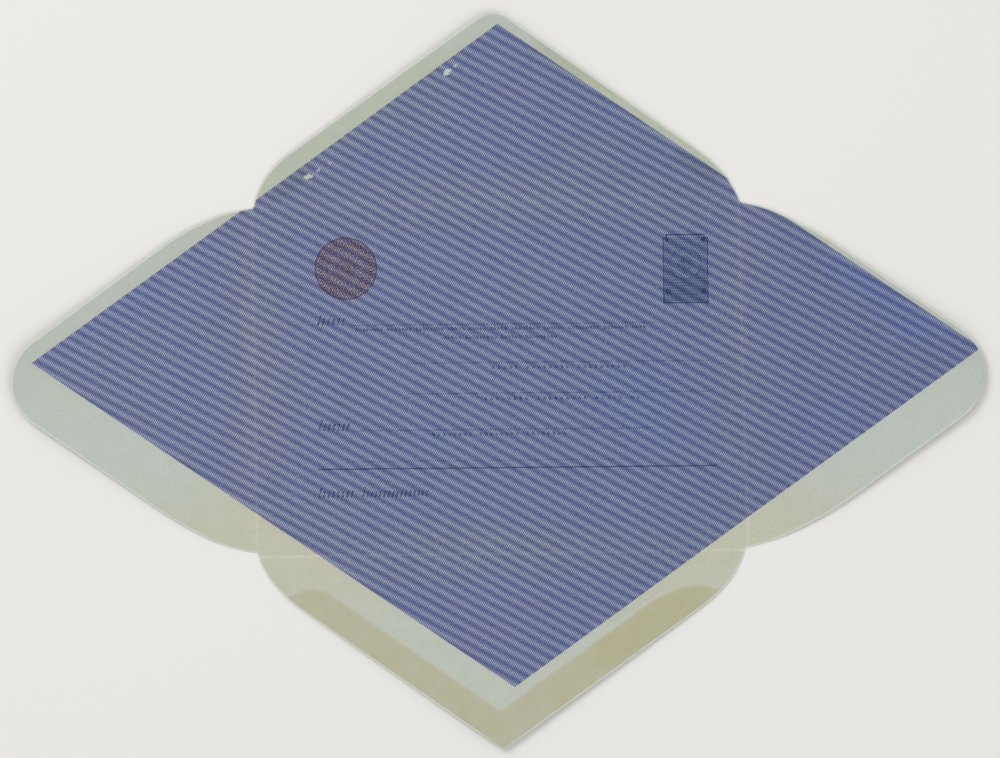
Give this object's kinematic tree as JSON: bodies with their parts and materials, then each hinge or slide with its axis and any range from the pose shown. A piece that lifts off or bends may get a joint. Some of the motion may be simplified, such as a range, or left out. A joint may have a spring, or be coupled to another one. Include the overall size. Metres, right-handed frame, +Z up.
{
  "type": "paper envelope opened out flat",
  "caption": "Postal envelope of tinted paper, unglued and opened out flat: a panel with flaps on all sides, notched corners, pressed creases and a gummed closing flap.",
  "frame": {"origin": "Middle of the panel's flat underside, on the surface that the sheet lies on.", "axes": "+Z up out of the printed face, +X along the long creases towards the right end flap, +Y towards the top flap, away from the gummed flap."},
  "size_m": [0.307, 0.232, 0.0028],
  "materials": {
    "paper": "uncoated envelope paper, pale grey-green and toned along the creases, with a blue line tint",
    "dried_gum": "thin dried gum, tan with a faint gloss",
    "form_ink": "dark blue letterpress ink",
    "rosette_ink": "brown-red letterpress ink"
  },
  "bodies": {
    "root": {"envelope_sheet": "paper"}
  },
  "joints": []
}
